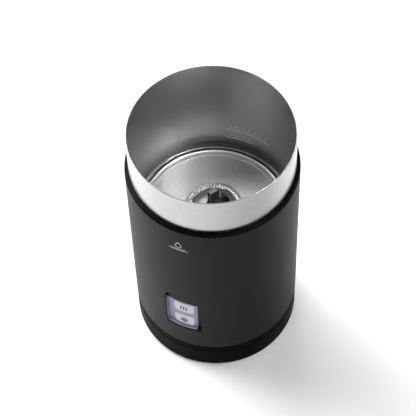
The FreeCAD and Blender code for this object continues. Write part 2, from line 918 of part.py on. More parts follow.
def bottom_cover():
    """Cover under the jug: a plate with a ring to stand on, bosses and a socket opening."""
    cover = disc(sleeve_inner - seat_clearance, cover_bottom, cover_top)
    pieces = [tube(rest_ring_outer, rest_ring_inner, base_deck_height, cover_bottom)]
    pieces += [disc(column_radius, cover_top, cover_top + boss_height, p) for p in column_places]
    pieces += [disc(board_post_radius, cover_top, board_level, p) for p in board_post_places]
    cover = cover.fuse(pieces)
    low = cover_bottom - 1
    cover = cover.cut(disc(socket_outer + seat_clearance, low, cover_top + 1))
    recess = cover_bottom + case_screw[2] + case_screw_sink
    cover = drill(cover, case_screw[1] + head_room, low, recess, column_places)
    cover = drill(cover, case_pass, low, cover_top + boss_height + 1, column_places)
    cover = drill(cover, small_tap, board_level - board_screw_length, board_level + 1,
                  board_post_places)
    cover = drill(cover, small_tap, cover_bottom + 0.6, cover_top + 1, socket_screw_places)
    return cover.removeSplitter()


def case_screw_at(place):
    """A long screw that clamps the cover to a column of the bracket."""
    head_base = cover_bottom + case_screw[2] + case_screw_sink
    return screw(case_screw, head_base, 1, case_screw_length, place)


def jug_socket():
    """Round socket that drops over the base's connector, so the jug turns freely on it."""
    lead_in = 0.8
    flange_top = cover_top + socket_flange_thick
    socket = turned([
        (0, socket_roof),
        (socket_inner, socket_roof),
        (socket_inner, cover_bottom + lead_in),
        (socket_inner + lead_in, cover_bottom),
        (socket_outer, cover_bottom),
        (socket_outer, cover_top),
        (socket_flange, cover_top),
        (socket_flange, flange_top),
        (socket_outer, flange_top),
        (socket_outer, socket_top),
        (0, socket_top),
    ])
    low, high = socket_roof - cut_margin, socket_top + cut_margin
    socket = socket.cut(tube(blade_outer, blade_inner, low, high))
    core = disc(blade_inner, socket_roof, web_level)
    web = block((-blade_radius - 1, -web_half, web_level), (blade_radius + 1, web_half, socket_top))
    socket = socket.fuse([core, web]).cut(disc(centre_pin_radius, low, high))
    socket = drill(socket, small_pass, cover_top - 1, flange_top + 1, socket_screw_places)
    return socket.removeSplitter()


socket_top = socket_roof + 2.5
web_level = socket_roof + 1.2
web_half = 0.8
blade_top = socket_roof + 6.0
blade_low = groove_floor + 2.0


def socket_ring_contact():
    """Ring blade that dips into the connector's groove, slotted round the socket's web."""
    ring = tube(blade_outer, blade_inner, blade_low, blade_top)
    web = block((-socket_outer, -web_half, web_level), (socket_outer, web_half, blade_top + 1))
    return ring.cut(web)


def socket_centre_contact():
    """Pin that enters the connector's centre hole."""
    tip_round = centre_pin_radius / 2
    pin = disc(centre_pin_radius, blade_low + tip_round, blade_top)
    low_rim = [e for e in pin.Edges if e.Closed and e.CenterOfMass.z < blade_low + 1]
    return pin.makeFillet(tip_round, low_rim)


def socket_screw(place):
    """A screw that holds the socket's flange down on the cover."""
    return screw(small_screw, cover_top + socket_flange_thick, -1, 3.4, place)


# ---------------------------------------------------------------- power board
board_face = board_level + board_thick
board_screw_length = 9.0


def power_board():
    """Round circuit board with its screw holes."""
    board = disc(board_radius, board_level, board_face)
    return drill(board, small_pass, board_level - 1, board_face + 1, board_post_places)


def on_board(width, depth, height, x, y):
    """A box that stands on the board."""
    low, high = board_face, board_face + height
    return block((x - width / 2, y - depth / 2, low), (x + width / 2, y + depth / 2, high))


def board_relay():
    """Relay that switches the heating element."""
    return on_board(10.0, 15.5, 12.0, 20.5, -8.0)


def board_transformer():
    """Small transformer of the motor's supply."""
    core = on_board(12.0, 16.0, 10.0, -20.5, -14.0)
    winding = on_board(15.8, 12.0, 6.5, -20.5, -14.0)
    winding.translate(Vector(0, 0, 2.0))
    return core.fuse(winding).removeSplitter()


def board_capacitor():
    """Round capacitor that smooths the supply."""
    return disc(4.5, board_face, board_face + 12.0, (4.0, 24.0))


def upright_leads(radius, low, high, ends):
    """Straight insulated leads between two levels."""
    return Part.makeCompound([disc(radius, low, high, end) for end in ends])


def switch_leads():
    """Three leads that run from the switch board onto the edge of the power board."""
    radius, overlap = 0.5, 2.1
    level = board_face + radius
    end = -board_radius + overlap
    return Part.makeCompound([rod_y(radius, switch_board_back, end, x, level)
                              for x in (-3, 0, 3)])


def board_screw(place):
    """A screw that holds the board on its post."""
    return screw(small_screw, board_face, -1, board_screw_length, place)


# ---------------------------------------------------------------- button panel
def button_panel():
    """Shallow curved tray in the sleeve's window, with a hole for each button."""
    land_width = window_width - 2 * seat_clearance
    land_height = window_height - 2 * seat_clearance
    flange_width = window_width + 2 * panel_flange_margin
    flange_height = window_height + 2 * panel_flange_margin
    low, high = window_bottom - window_height, window_bottom + 2 * window_height
    front, back = -sleeve_radius - cut_margin, switch_board_front
    land = rounded_bar(land_width, land_height, window_corner, front, back, window_middle)
    land = land.common(disc(sleeve_radius - panel_rim_inset, low, high))
    flange = rounded_bar(flange_width, flange_height, window_corner, front, back, window_middle)
    flange = flange.common(disc(panel_flange_outer, low, high))
    panel = land.fuse(flange).cut(disc(panel_flange_inner, low, high))
    hollow = rounded_bar(land_width - 2 * panel_rim, land_height - 2 * panel_rim,
                         window_corner - panel_rim, front, back, window_middle)
    panel = panel.cut(hollow.cut(disc(panel_face, low, high)))
    for level in (hot_level, cold_level):
        panel = panel.cut(rounded_bar(button_width + 2 * button_clearance,
                                      button_height + 2 * button_clearance,
                                      button_corner + button_clearance, front, back, level))
    boss_start = -panel_flange_inner + 1.6
    for side in (-1, 1):
        x = side * panel_boss_x
        panel = panel.fuse(rod_y(panel_boss_radius, boss_start, back, x, button_middle))
        panel = panel.cut(rod_y(board_tap_radius, back - 5, back + 1, x, button_middle))
    return panel.removeSplitter()


board_tap_radius = 0.85
board_pin_radius = 0.8
board_pin_head = 1.6


def button_board():
    """Flat circuit board behind the panel."""
    half_width, half_height = switch_board_width / 2, switch_board_height / 2
    low = (-half_width, switch_board_front, button_middle - half_height)
    high = (half_width, switch_board_back, button_middle + half_height)
    board = block(low, high)
    for side in (-1, 1):
        board = board.cut(rod_y(board_pin_radius + 0.2, switch_board_front - 1,
                                switch_board_back + 1, side * panel_boss_x, button_middle))
    return board


def button_board_screws():
    """Two screws that hold the switch board on the panel's bosses."""
    back = switch_board_back
    solids = []
    for side in (-1, 1):
        x = side * panel_boss_x
        shank = rod_y(board_pin_radius, back - 5.5, back, x, button_middle)
        head = rod_y(board_pin_head, back, back + 1.0, x, button_middle)
        solids.append(shank.fuse(head).removeSplitter())
    return Part.makeCompound(solids)


def tact_switch(level):
    """A push switch with its plunger, on the switch board."""
    half = switch_body / 2
    body = block((-half, switch_front, level - half), (half, switch_board_front, level + half))
    plunger = rod_y(plunger_radius, switch_front - plunger_length, switch_front, 0, level)
    return body.fuse(plunger).removeSplitter()


def button_cap(level):
    """A button: a curved cap in the panel's hole, a flange behind it and a stem."""
    cap = rounded_bar(button_width, button_height, button_corner, -sleeve_radius,
                      button_flange_front, level)
    cap = cap.common(disc(button_face, level - button_height, level + button_height))
    front = [e for e in cap.Edges if e.BoundBox.YMax < -(button_face - 1.2)]
    cap = cap.makeFillet(button_edge_round, front)
    flange = rounded_bar(button_flange_width, button_flange_height, button_corner,
                         button_flange_front, button_flange_back, level)
    stem_end = switch_front - plunger_length - button_travel - stem_gap
    stem = rod_y(stem_radius, button_flange_back, stem_end, 0, level)
    return cap.fuse([flange, stem]).removeSplitter()


# ---------------------------------------------------------------- write every piece
sensor_ends = [(sensor_place[0], 0.7), (sensor_place[0], 0.7 + lead_spread)]
cutout_ends = [(cutout_place[0], -lead_spread), (cutout_place[0], lead_spread)]
motor_tab_low = motor_bottom - motor_cap_thick - motor_tab
cutout_tab_low = spreader_under - cutout_length - cutout_tab

pieces = {
    "base_lower_shell": base_lower_shell(),
    "base_top_cover": base_top_cover(),
    "base_feet": each(base_foot, foot_places),
    "base_screws": each(base_screw, base_screw_places),
    "base_connector": base_connector(),
    "base_ring_contact": base_ring_contact(),
    "base_centre_contact": base_centre_contact(),
    "cord_inlet_gland": cord_inlet_gland(),
    "cord_clamp": cord_clamp(),
    "cord_clamp_screws": cord_clamp_screws(),
    "outer_sleeve": outer_sleeve(),
    "top_trim_ring": top_trim_ring(),
    "steel_cup": steel_cup(),
    "cup_seal": cup_seal(),
    "drive_pin": drive_pin(),
    "heat_spreader": heat_spreader(),
    "heating_element": element_path(element_radius),
    "heater_terminals": heater_terminals(),
    "temperature_sensor": temperature_sensor(),
    "thermal_cutout": thermal_cutout(),
    "heater_screws": each(heater_screw, heater_post_places),
    "motor_bracket": motor_bracket(),
    "motor_can": motor_can(),
    "motor_end_cap": motor_end_cap(),
    "motor_field_magnets": motor_field_magnets(),
    "motor_screws": each(motor_screw, motor_screw_places),
    "motor_shaft": motor_shaft(),
    "motor_armature": motor_armature(),
    "magnet_carrier": magnet_carrier(),
    "drive_magnets": each(drive_magnet, places(2, whisk_angle, magnet_circle)),
    "whisk_frame": whisk_frame(),
    "whisk_coil": whisk_coil(),
    "whisk_magnets": whisk_magnets(),
    "bottom_cover": bottom_cover(),
    "case_screws": each(case_screw_at, column_places),
    "jug_socket": jug_socket(),
    "socket_ring_contact": socket_ring_contact(),
    "socket_centre_contact": socket_centre_contact(),
    "socket_screws": each(socket_screw, socket_screw_places),
    "power_board": power_board(),
    "board_relay": board_relay(),
    "board_transformer": board_transformer(),
    "board_capacitor": board_capacitor(),
    "board_screws": each(board_screw, board_post_places),
    "heater_leads": upright_leads(heater_lead_radius, board_face,
                                  element_centre - terminal_radius, heater_lead_places()),
    "sensor_leads": upright_leads(0.4, board_face, cup_under - sensor_length, sensor_ends),
    "cutout_leads": upright_leads(0.6, board_face, cutout_tab_low, cutout_ends),
    "motor_leads": upright_leads(0.7, board_face, motor_tab_low,
                                 [(-motor_tab_x, 0), (motor_tab_x, 0)]),
    "socket_leads": upright_leads(0.9, blade_top, board_level, [(0, 0), (0, blade_radius)]),
    "switch_leads": switch_leads(),
    "button_panel": button_panel(),
    "button_board": button_board(),
    "button_board_screws": button_board_screws(),
    "hot_switch": tact_switch(hot_level),
    "cold_switch": tact_switch(cold_level),
    "hot_button_cap": button_cap(hot_level),
    "cold_button_cap": button_cap(cold_level),
}

os.makedirs("parts", exist_ok=True)
for name, shape in pieces.items():
    shape.exportStep(f"parts/{name}.step")
    kinds = f"{len(shape.Solids)} solid(s), {shape.Volume / 1000:.2f} cm3, valid {shape.isValid()}"
    print(f"{name}: {kinds}")
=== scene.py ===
# %% [markdown]
# # A cordless milk frother
# The object is a steel cup in a soft-touch sleeve that stands on a round power base. A small
# coil whisk turns on a pin in the cup. The designed shapes come ready as fixed nodes, so this
# lesson gives every one of them a finish, remakes the ones that need finer surfaces, and sets
# the light and the camera. Loading comes first, because everything else is placed by it.

# %% Load the designed shapes
import math

import bmesh
import bpy
import numpy as np
from mathutils import Matrix, Vector


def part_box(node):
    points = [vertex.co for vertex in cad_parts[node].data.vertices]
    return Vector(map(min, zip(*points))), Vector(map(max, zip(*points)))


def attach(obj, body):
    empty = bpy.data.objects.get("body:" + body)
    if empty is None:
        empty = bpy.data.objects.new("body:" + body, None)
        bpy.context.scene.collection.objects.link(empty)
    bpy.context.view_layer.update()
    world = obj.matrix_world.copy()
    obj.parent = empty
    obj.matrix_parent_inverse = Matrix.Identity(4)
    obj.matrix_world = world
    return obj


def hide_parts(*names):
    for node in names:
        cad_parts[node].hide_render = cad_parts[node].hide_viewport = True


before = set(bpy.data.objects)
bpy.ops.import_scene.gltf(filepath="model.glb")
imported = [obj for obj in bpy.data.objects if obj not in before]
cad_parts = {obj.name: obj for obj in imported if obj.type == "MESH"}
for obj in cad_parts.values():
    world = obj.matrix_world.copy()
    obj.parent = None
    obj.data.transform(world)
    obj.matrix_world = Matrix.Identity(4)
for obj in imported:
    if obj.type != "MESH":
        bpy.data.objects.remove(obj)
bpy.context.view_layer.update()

# %% [markdown]
# ## Sizes
# Blender works in metres here, but a maker thinks in millimetres. All shapes below are worked
# out in millimetres and turned into metres once, when their mesh is made. Radii and levels are
# measured on the designed nodes, so a new size in the design moves the surfaces with it.

# %% Read radii and levels from the nodes
MM = 0.001


def node_box(node):
    """Lowest and highest corner of a node in millimetres."""
    low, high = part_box(node)
    return np.array(low) / MM, np.array(high) / MM


sleeve_low, sleeve_high = node_box("outer_sleeve")
cup_low, cup_high = node_box("steel_cup")
coil_low, coil_high = node_box("whisk_coil")
SLEEVE_RADIUS = sleeve_high[0]
CUP_RADIUS = cup_high[0]
CUP_WALL = 0.7
CUP_RIM = cup_high[2]
CUP_FLOOR = cup_low[2] + CUP_WALL
CUP_INNER = CUP_RADIUS - CUP_WALL
COIL_TUBE = (coil_high[2] - coil_low[2]) / 2
COIL_RING = coil_high[0] - COIL_TUBE
COIL_LEVEL = (coil_high[2] + coil_low[2]) / 2
print(f"sleeve radius {SLEEVE_RADIUS:.1f} mm, cup rim at {CUP_RIM:.1f} mm, "
      f"floor {CUP_FLOOR:.1f} mm")

# %% [markdown]
# ## Surfaces from numbers
# A turned, pressed or bent shape is a grid of points: one direction runs along the section and
# the other round the axis. Working the grid out as whole arrays is exact and quick, and a
# change of one number reshapes the piece. One function turns any closed grid into a mesh.


# %% Grid to mesh
def surface(name, grid, close_rows=False, close_columns=False):
    """A smooth mesh piece from a grid of points in millimetres. Each face joins four
    neighbours. The faces are turned outwards when the volume they enclose comes out negative."""
    rows, columns = grid.shape[:2]
    index = np.arange(rows * columns).reshape(rows, columns)
    if close_rows:
        index = np.vstack([index, index[:1]])
    if close_columns:
        index = np.hstack([index, index[:, :1]])
    corners = [index[:-1, :-1], index[:-1, 1:], index[1:, 1:], index[1:, :-1]]
    quads = np.stack(corners, axis=-1).reshape(-1, 4)
    points = grid.reshape(-1, 3) * MM
    a, b, c, d = (points[quads[:, k]] for k in range(4))
    twice = np.einsum("ij,ij->i", a, np.cross(b, c)) + np.einsum("ij,ij->i", a, np.cross(c, d))
    if twice.sum() < 0:
        quads = quads[:, ::-1]
    mesh = bpy.data.meshes.new(name)
    mesh.from_pydata(points.tolist(), [], quads.tolist())
    work = bmesh.new()
    work.from_mesh(mesh)
    bmesh.ops.remove_doubles(work, verts=work.verts, dist=1e-8)
    work.to_mesh(mesh)
    work.free()
    mesh.polygons.foreach_set("use_smooth", np.ones(len(mesh.polygons), bool))
    mesh.update()
    piece = bpy.data.objects.new(name, mesh)
    bpy.context.scene.collection.objects.link(piece)
    print(f"{name}: {len(mesh.vertices)} points, {len(mesh.polygons)} faces")
    return piece


# %% [markdown]
# A listed section has a few corners, and each corner of a real part is rounded. So a
# section is a short list of corners with a radius each, and this function rounds them all at
# once. Extra points just outside each arc keep the long flats flat when the mesh is shaded
# smooth.


# %% Round the corners of a section
def rounded(corners, steps=6, guard=0.3):
    """Closed outline from corners (x, y, radius). Each corner becomes an arc that touches both
    its sides: it starts radius / tan(half the inner angle) away from the corner."""
    data = np.array(corners, float)
    at, radius = data[:, :2], data[:, 2]
    back = np.roll(at, 1, axis=0) - at
    ahead = np.roll(at, -1, axis=0) - at
    back /= np.linalg.norm(back, axis=1, keepdims=True)
    ahead /= np.linalg.norm(ahead, axis=1, keepdims=True)
    half = np.arccos(np.clip((back * ahead).sum(1), -1, 1)) / 2
    bisector = back + ahead
    bisector /= np.maximum(np.linalg.norm(bisector, axis=1, keepdims=True), 1e-9)
    centre = at + bisector * (radius / np.sin(half))[:, None]
    start = at + back * (radius / np.tan(half))[:, None]
    turning = -back[:, 0] * ahead[:, 1] + back[:, 1] * ahead[:, 0]
    turn = (np.pi - 2 * half) * np.sign(turning)
    angle = np.linspace(0, 1, steps)[None, :] * turn[:, None]
    spoke = start - centre
    cos, sin = np.cos(angle), np.sin(angle)
    arc_x = centre[:, :1] + cos * spoke[:, :1] - sin * spoke[:, 1:]
    arc_y = centre[:, 1:] + sin * spoke[:, :1] + cos * spoke[:, 1:]
    arcs = np.stack([arc_x, arc_y], axis=-1)
    lead_in = arcs[:, :1] + (back * guard * radius[:, None])[:, None]
    lead_out = arcs[:, -1:] + (ahead * guard * radius[:, None])[:, None]
    return np.concatenate([lead_in, arcs, lead_out], axis=1).reshape(-1, 2)


# %% Turn a section round the axis
def turned(name, corners, around=240, steps=6):
    """A solid of revolution: every section point (r, z) goes to (r cos a, r sin a, z)."""
    r, z = rounded(corners, steps).T
    a = np.linspace(0, 2 * np.pi, around, endpoint=False)
    grid = np.stack([np.outer(r, np.cos(a)), np.outer(r, np.sin(a)),
                     np.outer(z, np.ones_like(a))], axis=-1)
    return surface(name, grid, close_rows=True, close_columns=True)


# %% [markdown]
# ## Colour and nodes
# Colours are written as the hex values that a designer reads off a sample, and the renderer
# wants linear light, so one function converts them. Another adds a shader node with its
# settings and links in one call, which keeps each material readable.


# %% Hex colour to linear light
def linear(hex_colour):
    """sRGB hex to linear RGBA: divide by 12.92 when dark, else ((c + 0.055) / 1.055) ^ 2.4."""
    value = np.array([int(hex_colour[i:i + 2], 16) for i in (1, 3, 5)]) / 255
    low, high = value / 12.92, ((value + 0.055) / 1.055) ** 2.4
    return (*np.where(value <= 0.04045, low, high).tolist(), 1.0)


# %% Add one node
def add_node(tree, kind, settings=None, links=None):
    """A node of a kind. A setting names a property or an input socket. A link joins an input
    socket, by name or number, to another node's output."""
    node = tree.nodes.new(kind)
    for name, value in (settings or {}).items():
        if isinstance(name, str) and hasattr(node, name):
            setattr(node, name, value)
        else:
            node.inputs[name].default_value = value
    for name, source in (links or {}).items():
        tree.links.new(source, node.inputs[name])
    return node


# %% Start a material
def new_finish(name, colour, roughness, metallic=0.0, **sockets):
    """A material with one shader. Sockets are given as words with _ for each space."""
    material = bpy.data.materials.new(name)
    material.use_nodes = True
    tree = material.node_tree
    shader = next(n for n in tree.nodes if n.type == "BSDF_PRINCIPLED")
    shader.inputs["Base Color"].default_value = linear(colour)
    shader.inputs["Roughness"].default_value = roughness
    shader.inputs["Metallic"].default_value = metallic
    for word, value in sockets.items():
        shader.inputs[word.replace("_", " ")].default_value = value
    place = add_node(tree, "ShaderNodeTexCoord").outputs["Object"]
    return material, tree, shader, place


def per_metre(size_mm):
    """Texture scale that makes one cell of a pattern a given size in millimetres."""
    return 1.0 / (size_mm * MM)


# %% [markdown]
# ## Moulded plastic
# Almost every plastic skin is the same recipe with other numbers: a base colour that drifts a
# little, a fine spark-eroded grain pressed in by the mould, and a roughness that wanders where
# hands have been. The grain of a real mould is about a tenth of a millimetre, which is too fine
# to show, so it is drawn a little coarser.


# %% Moulded skin
def moulded(name, colour, other, roughness, grain_mm=0.35, depth_mm=0.02, drift_mm=18.0,
            spread=0.06, **sockets):
    """Two near colours drift over each other, roughness spreads about its value, and a noise
    grain is pressed in as bump."""
    material, tree, shader, place = new_finish(name, colour, roughness, **sockets)
    drift = add_node(tree, "ShaderNodeTexNoise",
                     {"Scale": per_metre(drift_mm), "Detail": 3.0}, {"Vector": place})
    tint = add_node(tree, "ShaderNodeMix", {"data_type": "RGBA"},
                    {"Factor": drift.outputs["Fac"]})
    tint.inputs[6].default_value = linear(colour)
    tint.inputs[7].default_value = linear(other)
    tree.links.new(tint.outputs[2], shader.inputs["Base Color"])
    wander = add_node(tree, "ShaderNodeMapRange",
                      {"To Min": roughness - spread, "To Max": roughness + spread},
                      {"Value": drift.outputs["Fac"]})
    tree.links.new(wander.outputs["Result"], shader.inputs["Roughness"])
    grain = add_node(tree, "ShaderNodeTexNoise",
                     {"Scale": per_metre(grain_mm), "Detail": 2.0}, {"Vector": place})
    bump = add_node(tree, "ShaderNodeBump", {"Strength": 0.5, "Distance": depth_mm * MM},
                    {"Height": grain.outputs["Fac"]})
    tree.links.new(bump.outputs["Normal"], shader.inputs["Normal"])
    return material


soft_touch = moulded("soft_touch_coat", "#0b0b0b", "#0f0f0f", 0.50, 0.45, 0.012,
                     Specular_IOR_Level=0.08)
base_abs = moulded("textured_black_abs", "#020202", "#040304", 0.50, 0.4, 0.015,
                   Specular_IOR_Level=0.02)
trim_abs = moulded("satin_black_abs", "#020202", "#040404", 0.45, 0.8, 0.004,
                   Specular_IOR_Level=0.05)
panel_paint = moulded("metallic_lavender_paint", "#8f8a9e", "#9893a7", 0.42, 0.3, 0.01,
                      Metallic=0.2, Specular_IOR_Level=0.06)
button_abs = moulded("satin_pale_abs", "#bcb7c4", "#c6c1cd", 0.42, 0.35, 0.01)
whisk_nylon = moulded("black_nylon", "#0c0c0d", "#151516", 0.30, 0.5, 0.01)
inner_nylon = moulded("glass_filled_nylon", "#1c1c1e", "#2a2a2c", 0.55, 0.6, 0.03)
connector_pbt = moulded("heatproof_connector_plastic", "#161617", "#1e1e20", 0.45, 0.4, 0.02)
foot_rubber = moulded("matt_foot_rubber", "#0e0e0e", "#161616", 0.85, 0.7, 0.05)
seal_silicone = moulded("milky_silicone", "#a9adad", "#b9bcbc", 0.5, 0.8, 0.02,
                        Transmission_Weight=0.2)
board_glass = moulded("green_board_laminate", "#1d4a2c", "#24583a", 0.35, 0.6, 0.02)
part_case = moulded("moulded_component_case", "#15181f", "#1e222b", 0.4, 0.5, 0.02)
lead_skin = moulded("red_silicone_lead", "#7e1d17", "#8f2a20", 0.5, 0.5, 0.02)
ferrite = moulded("sintered_ferrite", "#1f2022", "#2b2c2f", 0.7, 0.5, 0.05)

# %% [markdown]
# The button tray is lavender, and black is painted on it as shade: along the window's top and
# right edges, where those edges cast their shadow into the recess, and on the tray's rim, which
# lies in a shaded gap beside the sleeve. From outside it can't be told whether that black is a
# deep gap, a shadow or a second lip. It is placed by distances from the window's edges, and one
# step for each side joins into a single mask.


# %% Paint shade on the edges of the button tray
TRAY_FLANGE = 2.8  # the tray's edge that is hidden behind the sleeve
TOP_SHADE_BAND = 9.2  # height of the painted shadow along the window's top
SIDE_SHADE_BAND = 3.9  # width of the painted shadow along its right side
RIM_SHADE_DEPTH = 0.5  # the tray is painted black as shade where it lies less than this under the sleeve's surface


def paint_tray_shade(material, radius_mm, level_mm, side_mm, black="#010101"):
    """Painted shade: black beyond a radius from the axis, above a level and beyond a distance to
    the right. The largest of three steps mixes that painted shade over whatever feeds the
    colour."""
    tree = material.node_tree
    shader = next(n for n in tree.nodes if n.type == "BSDF_PRINCIPLED")
    place = add_node(tree, "ShaderNodeTexCoord").outputs["Object"]
    split = add_node(tree, "ShaderNodeSeparateXYZ", links={"Vector": place})
    flat = add_node(tree, "ShaderNodeCombineXYZ",
                    links={"X": split.outputs["X"], "Y": split.outputs["Y"]})
    radius = add_node(tree, "ShaderNodeVectorMath", {"operation": "LENGTH"},
                      {0: flat.outputs["Vector"]})
    steps = []
    for value, edge, soft in ((radius.outputs["Value"], radius_mm, 0.05),
                              (split.outputs["Z"], level_mm, 0.4),
                              (split.outputs["X"], side_mm, 0.5)):
        steps.append(add_node(tree, "ShaderNodeMapRange",
                              {"From Min": (edge - soft) * MM, "From Max": (edge + soft) * MM},
                              {"Value": value}).outputs["Result"])
    pair = add_node(tree, "ShaderNodeMath", {"operation": "MAXIMUM"}, {0: steps[0], 1: steps[1]})
    shade_amount = add_node(tree, "ShaderNodeMath", {"operation": "MAXIMUM"},
                      {0: pair.outputs[0], 1: steps[2]})
    paint = shader.inputs["Base Color"].links[0].from_socket
    mask = add_node(tree, "ShaderNodeMix", {"data_type": "RGBA"},
                    {"Factor": shade_amount.outputs[0], 6: paint})
    mask.inputs[7].default_value = linear(black)
    tree.links.new(mask.outputs[2], shader.inputs["Base Color"])


panel_low, panel_high = node_box("button_panel")
WINDOW_TOP = panel_high[2] - TRAY_FLANGE
WINDOW_SIDE = (panel_high[0] - panel_low[0]) / 2 - TRAY_FLANGE
# Painted shade on the tray: black on its rim, along the window's top and along its right side.
paint_tray_shade(panel_paint, SLEEVE_RADIUS - RIM_SHADE_DEPTH, WINDOW_TOP - TOP_SHADE_BAND,
              WINDOW_SIDE - SIDE_SHADE_BAND)
print(f"tray window: top at {WINDOW_TOP:.1f} mm, half width {WINDOW_SIDE:.1f} mm")

# %% [markdown]
# ## Brushed and blasted steel
# A spun cup is brushed by holding an abrasive belt to it while it turns, so the scratches run
# round it: long along the circle and very thin across it. Noise that is stretched a hundred
# times round the axis gives that. To bend it round the cup, the point is first written as an
# angle, a height and a radius.


# %% Write a point as angle, height and radius
def round_the_axis(tree, place, along, across):
    """Vector (angle * along, z * across, radius) from Object coordinates."""
    split = add_node(tree, "ShaderNodeSeparateXYZ", links={"Vector": place})
    angle = add_node(tree, "ShaderNodeMath", {"operation": "ARCTAN2"},
                     {0: split.outputs["Y"], 1: split.outputs["X"]})
    stretched = add_node(tree, "ShaderNodeMath", {"operation": "MULTIPLY", 1: along},
                         {0: angle.outputs[0]})
    height = add_node(tree, "ShaderNodeMath", {"operation": "MULTIPLY", 1: across},
                      {0: split.outputs["Z"]})
    flat = add_node(tree, "ShaderNodeCombineXYZ",
                    links={"X": split.outputs["X"], "Y": split.outputs["Y"]})
    radius = add_node(tree, "ShaderNodeVectorMath", {"operation": "LENGTH"},
                      {0: flat.outputs["Vector"]})
    spread = add_node(tree, "ShaderNodeMath", {"operation": "MULTIPLY", 1: across},
                      {0: radius.outputs["Value"]})
    joined = add_node(tree, "ShaderNodeCombineXYZ",
                      links={"X": stretched.outputs[0], "Y": height.outputs[0],
                             "Z": spread.outputs[0]})
    return joined.outputs["Vector"]


# %% Steel brushed round the axis
def brushed(name, colour, roughness, scratch_mm, depth_mm, streaks=6.0, spread=0.08):
    """Stretched noise drives both the roughness and a shallow bump."""
    material, tree, shader, place = new_finish(name, colour, roughness, 1.0, Anisotropic=0.55)
    vector = round_the_axis(tree, place, streaks, per_metre(scratch_mm))
    scratches = add_node(tree, "ShaderNodeTexNoise", {"Scale": 1.0, "Detail": 4.0},
                         {"Vector": vector})
    wander = add_node(tree, "ShaderNodeMapRange",
                      {"To Min": roughness - spread, "To Max": roughness + spread},
                      {"Value": scratches.outputs["Fac"]})
    tree.links.new(wander.outputs["Result"], shader.inputs["Roughness"])
    bump = add_node(tree, "ShaderNodeBump", {"Strength": 0.4, "Distance": depth_mm * MM},
                    {"Height": scratches.outputs["Fac"]})
    tree.links.new(bump.outputs["Normal"], shader.inputs["Normal"])
    lines = add_node(tree, "ShaderNodeTangent", {"direction_type": "RADIAL", "axis": "Z"})
    tree.links.new(lines.outputs["Tangent"], shader.inputs["Tangent"])
    return material


# %% Steel blasted with beads
def blasted(name, colour, other, roughness, grit_mm, depth_mm):
    """Small pits from a fine noise that also mixes a dark and a light colour."""
    material, tree, shader, place = new_finish(name, colour, roughness, 1.0)
    pits = add_node(tree, "ShaderNodeTexNoise",
                    {"Scale": per_metre(grit_mm), "Detail": 2.0, "Roughness": 0.7},
                    {"Vector": place})
    tint = add_node(tree, "ShaderNodeMix", {"data_type": "RGBA"},
                    {"Factor": pits.outputs["Fac"]})
    tint.inputs[6].default_value = linear(colour)
    tint.inputs[7].default_value = linear(other)
    tree.links.new(tint.outputs[2], shader.inputs["Base Color"])
    bump = add_node(tree, "ShaderNodeBump", {"Strength": 0.8, "Distance": depth_mm * MM},
                    {"Height": pits.outputs["Fac"]})
    tree.links.new(bump.outputs["Normal"], shader.inputs["Normal"])
    return material


band_steel = brushed("brushed_steel_outside", "#a8a8a8", 0.26, 0.25, 0.004)
wall_steel = brushed("brushed_steel_inside", "#b4b4b4", 0.34, 0.35, 0.004)
floor_steel = blasted("bead_blasted_steel", "#8c8c8c", "#f6f6f6", 0.46, 0.7, 0.2)
bead_steel = blasted("blasted_bead_steel", "#b4b4b4", "#f6f6f6", 0.34, 0.7, 0.06)
wire_steel = brushed("drawn_steel_wire", "#ececec", 0.25, 0.5, 0.002)
pin_steel = brushed("ground_steel_pin", "#c9c7c4", 0.18, 0.3, 0.002)
screw_zinc = blasted("zinc_plated_steel", "#9a9a98", "#b9bab8", 0.32, 0.5, 0.01)
heater_sheath = blasted("dull_heater_sheath", "#5b5752", "#77716a", 0.5, 0.6, 0.03)
cast_aluminium = blasted("die_cast_aluminium", "#b9babb", "#cfd0d1", 0.45, 0.8, 0.03)
contact_brass = brushed("rolled_brass", "#c9a35a", 0.28, 0.4, 0.003)
can_steel = brushed("drawn_motor_can", "#a9a9a8", 0.35, 0.5, 0.004)
nickel = blasted("nickel_plate", "#b5b2aa", "#c6c3bb", 0.25, 0.9, 0.005)
copper = brushed("enamelled_copper", "#b0602f", 0.3, 0.35, 0.05)

# %% [markdown]
# ## Finishes on the designed nodes
# A table from node to finish dresses every designed piece, seen or hidden, in one short loop.

# %% Dress the designed nodes
FINISHES = {
    soft_touch: ["outer_sleeve"],
    base_abs: ["base_lower_shell", "base_top_cover", "bottom_cover"],
    trim_abs: ["top_trim_ring"],
    panel_paint: ["button_panel"],
    button_abs: ["hot_button_cap", "cold_button_cap"],
    whisk_nylon: ["whisk_frame"],
    inner_nylon: ["motor_bracket", "motor_end_cap", "magnet_carrier", "cord_clamp"],
    connector_pbt: ["base_connector", "jug_socket", "cord_inlet_gland"],
    foot_rubber: ["base_feet"],
    seal_silicone: ["cup_seal"],
    board_glass: ["power_board", "button_board"],
    part_case: ["board_relay", "board_capacitor", "thermal_cutout", "hot_switch",
                "cold_switch"],
    lead_skin: ["heater_leads", "sensor_leads", "cutout_leads", "motor_leads", "socket_leads",
                "switch_leads"],
    ferrite: ["motor_field_magnets"],
    band_steel: ["steel_cup"],
    wire_steel: ["whisk_coil"],
    pin_steel: ["drive_pin", "motor_shaft", "temperature_sensor"],
    screw_zinc: ["base_screws", "cord_clamp_screws", "heater_screws", "motor_screws",
                 "case_screws", "socket_screws", "board_screws", "button_board_screws"],
    heater_sheath: ["heating_element", "heater_terminals"],
    cast_aluminium: ["heat_spreader"],
    contact_brass: ["base_ring_contact", "base_centre_contact", "socket_ring_contact",
                    "socket_centre_contact"],
    can_steel: ["motor_can"],
    nickel: ["drive_magnets", "whisk_magnets"],
    copper: ["motor_armature", "board_transformer"],
}
dressed = 0
for finish, nodes in FINISHES.items():
    for node in nodes:
        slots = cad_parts[node].data.materials
        slots.clear()
        slots.append(finish)
        dressed += 1
print(f"{dressed} of {len(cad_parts)} nodes dressed")

